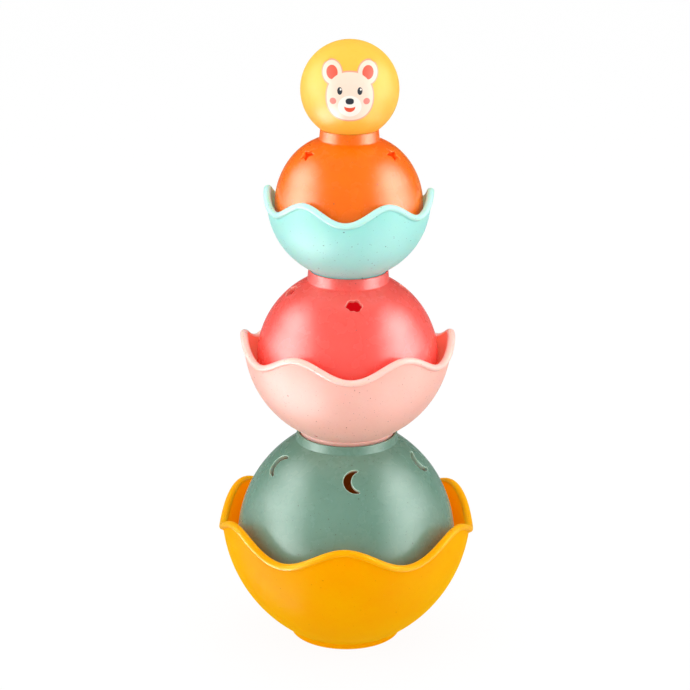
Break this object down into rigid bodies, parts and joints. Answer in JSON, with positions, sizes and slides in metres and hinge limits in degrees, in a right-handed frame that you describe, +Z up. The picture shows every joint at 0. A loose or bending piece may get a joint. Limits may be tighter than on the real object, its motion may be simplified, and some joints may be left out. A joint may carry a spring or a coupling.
{
  "type": "stacking cup tower",
  "caption": "Stacking tower of wavy-rimmed bowls and upside-down cups with moon, cloud and star cut-outs, topped by a hollow ball; each piece lifts off.",
  "frame": {"origin": "centre of the yellow bowl's foot ring, on the plane the tower stands on", "axes": "+Z up along the tower's axis; -Y is the front, the side the ball's printed face looks to"},
  "size_m": [0.136, 0.137, 0.3209],
  "materials": {
    "yellow_plastic": "satin",
    "green_plastic": "satin, flecked with plant fibre",
    "pink_plastic": "satin, flecked with plant fibre",
    "coral_plastic": "satin, flecked with plant fibre",
    "mint_plastic": "satin, flecked with plant fibre",
    "orange_plastic": "satin, flecked with plant fibre",
    "ball_plastic": "gloss, with a printed animal face on the front"
  },
  "bodies": {
    "yellow_bowl": {"yellow_bowl": "yellow_plastic"},
    "green_dome": {"green_dome": "green_plastic"},
    "pink_bowl": {"pink_bowl": "pink_plastic"},
    "coral_dome": {"coral_dome": "coral_plastic"},
    "mint_bowl": {"mint_bowl": "mint_plastic"},
    "orange_dome": {"orange_dome": "orange_plastic"},
    "ball": {"ball_front_shell": "ball_plastic", "ball_rear_shell": "ball_plastic"}
  },
  "joints": [
    {"name": "lift_green_dome", "type": "slide", "parent": "yellow_bowl", "child": "green_dome", "axis": [0, 0, 1], "range_m": [0, 0.05]},
    {"name": "lift_pink_bowl", "type": "slide", "parent": "green_dome", "child": "pink_bowl", "axis": [0, 0, 1], "range_m": [0, 0.03]},
    {"name": "lift_coral_dome", "type": "slide", "parent": "pink_bowl", "child": "coral_dome", "axis": [0, 0, 1], "range_m": [0, 0.04]},
    {"name": "lift_mint_bowl", "type": "slide", "parent": "coral_dome", "child": "mint_bowl", "axis": [0, 0, 1], "range_m": [0, 0.03]},
    {"name": "lift_orange_dome", "type": "slide", "parent": "mint_bowl", "child": "orange_dome", "axis": [0, 0, 1], "range_m": [0, 0.035]},
    {"name": "lift_ball", "type": "slide", "parent": "orange_dome", "child": "ball", "axis": [0, 0, 1], "range_m": [0, 0.03]}
  ]
}
